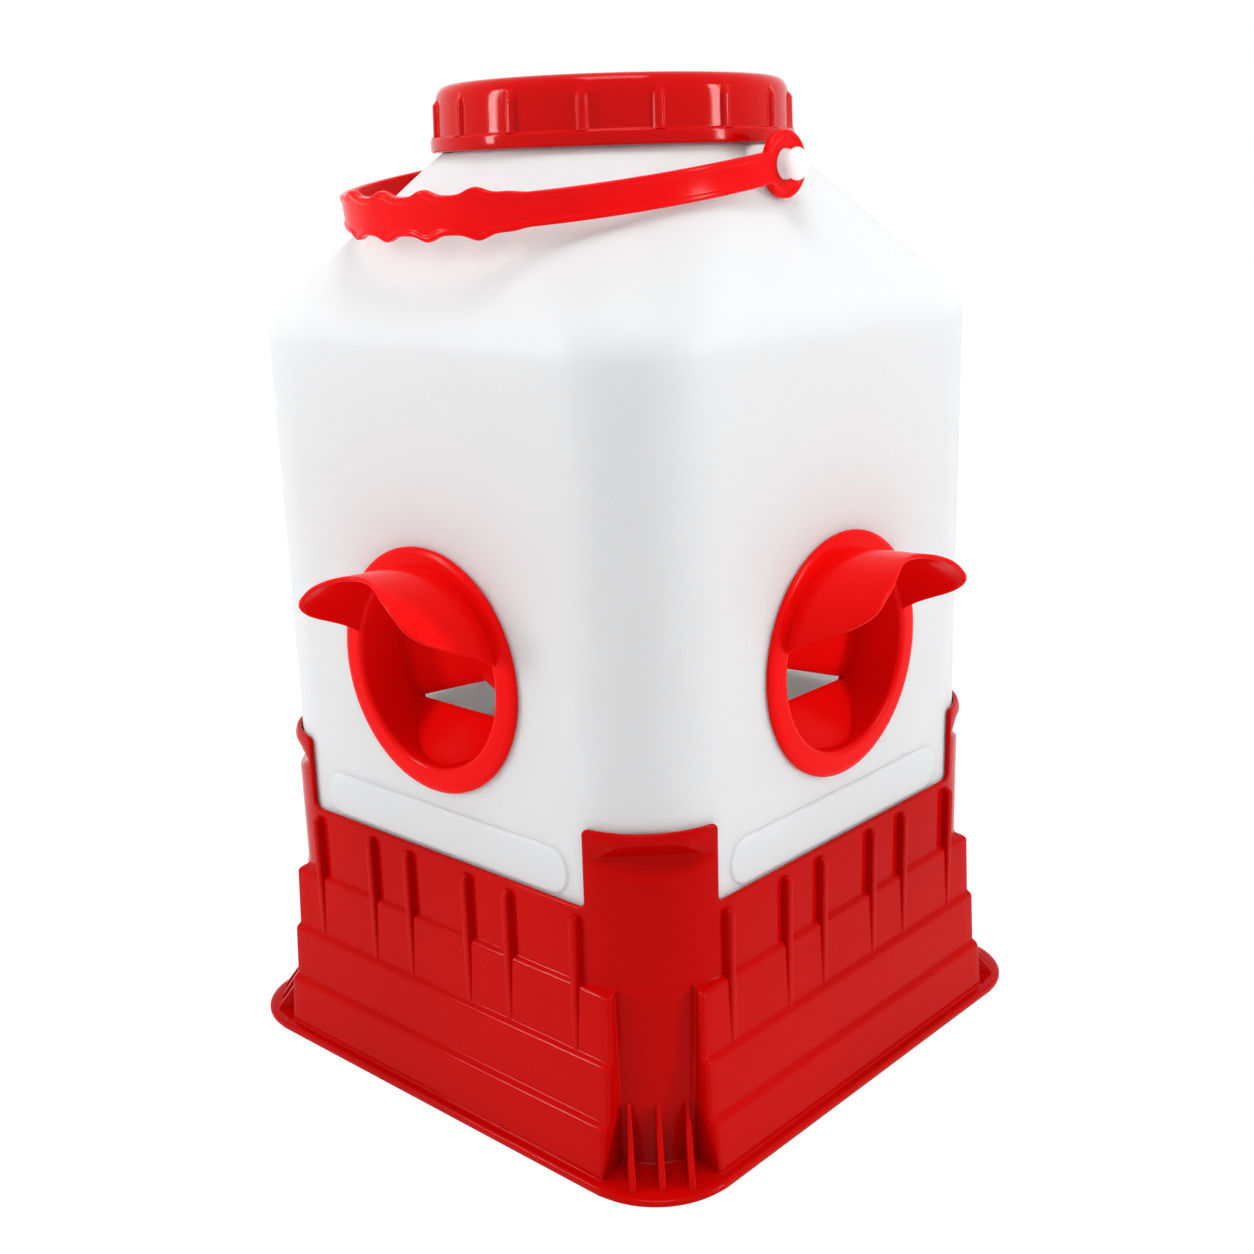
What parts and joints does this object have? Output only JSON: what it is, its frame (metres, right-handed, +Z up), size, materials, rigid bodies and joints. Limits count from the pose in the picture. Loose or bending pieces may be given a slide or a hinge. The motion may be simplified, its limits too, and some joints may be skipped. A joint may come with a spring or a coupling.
{
  "type": "poultry feeder",
  "caption": "Poultry feeder: square white tank with a screw lid and bail handle, hooded feeding ports in its sides, on a ribbed red moulded stand that clips to its corners.",
  "frame": {"origin": "centre of the stand's underside, on the ground", "axes": "+Z up along the tank's axis; the handle's pivots lie along X and its grip rests on the -Y side; a port faces each of -Y, +X, +Y and -X"},
  "size_m": [0.3382, 0.3382, 0.4487],
  "materials": {
    "stand_plastic": "glossy red moulded plastic",
    "tank_plastic": "satin white, slightly translucent",
    "lid_plastic": "glossy red",
    "gasket_rubber": "matt grey",
    "port_plastic": "glossy red",
    "handle_plastic": "glossy red"
  },
  "bodies": {
    "stand": {"stand": "stand_plastic"},
    "tank": {"tank": "tank_plastic", "tank_neck": "tank_plastic", "port_front": "port_plastic", "port_right": "port_plastic", "port_back": "port_plastic", "port_left": "port_plastic", "ring_front": "port_plastic", "ring_right": "port_plastic", "ring_back": "port_plastic", "ring_left": "port_plastic"},
    "handle": {"handle": "handle_plastic"},
    "gasket": {"lid_gasket": "gasket_rubber"},
    "lid": {"lid": "lid_plastic"}
  },
  "joints": [
    {"name": "tank_lift", "type": "slide", "parent": "stand", "child": "tank", "axis": [0, 0, 1], "range_m": [0, 0.13]},
    {"name": "handle_swing", "type": "hinge", "parent": "tank", "child": "handle", "pos_m": [0, 0, 0.411], "axis": [-1, 0, 0], "range_deg": [0, 194.8]},
    {"name": "lid_lift", "type": "slide", "parent": "tank", "child": "gasket", "axis": [0, 0, 1], "range_m": [0, 0.0271]},
    {"name": "lid_turn", "type": "hinge", "parent": "gasket", "child": "lid", "pos_m": [0, 0, 0.4203], "axis": [0, 0, 1], "range_deg": [0, 810]}
  ],
  "couplings": [
    {"joint": "lid_lift", "follows": "lid_turn", "m_per_rad": 0.0019099}
  ]
}
